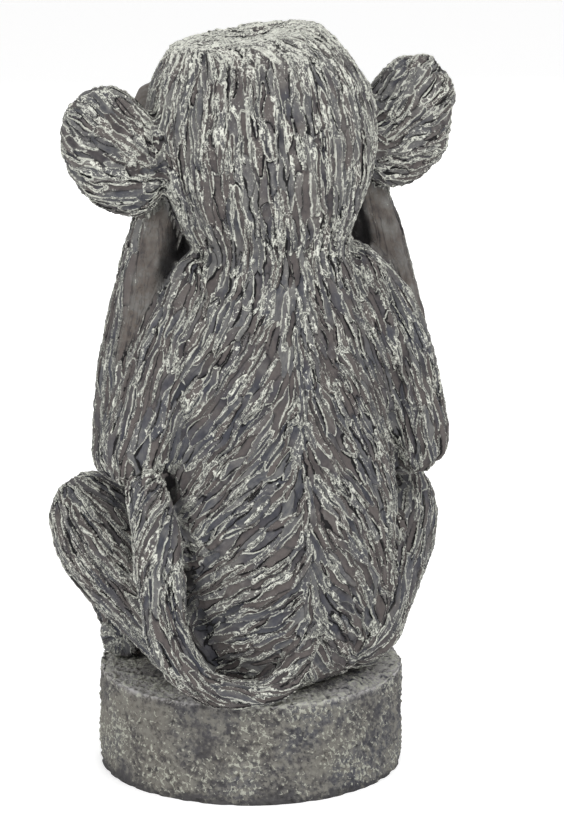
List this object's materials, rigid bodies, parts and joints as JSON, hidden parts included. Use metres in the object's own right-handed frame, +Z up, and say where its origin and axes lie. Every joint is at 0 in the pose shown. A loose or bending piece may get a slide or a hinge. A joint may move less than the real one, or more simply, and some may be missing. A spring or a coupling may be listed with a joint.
{
  "type": "monkey figurine",
  "caption": "Squatting monkey garden ornament in cast stone, hands over its eyes, big round ears, furrowed fur and a curled tail, on a round rough plinth.",
  "frame": {"origin": "the middle of the plinth's flat underside", "axes": "+Z up, the monkey faces -Y and its left side is +X"},
  "size_m": [0.1535, 0.1209, 0.2794],
  "materials": {
    "figure_stone": "matte, dry-brushed pale over slate and brown",
    "plinth_stone": "matte, pitted"
  },
  "bodies": {
    "root": {"plinth": "plinth_stone", "torso": "figure_stone", "head": "figure_stone", "tail": "figure_stone", "thigh_left": "figure_stone", "shin_left": "figure_stone", "foot_left": "figure_stone", "upper_arm_left": "figure_stone", "forearm_left": "figure_stone", "ear_left": "figure_stone", "hand_left": "figure_stone", "thigh_right": "figure_stone", "shin_right": "figure_stone", "foot_right": "figure_stone", "upper_arm_right": "figure_stone", "forearm_right": "figure_stone", "ear_right": "figure_stone", "hand_right": "figure_stone"}
  },
  "joints": []
}
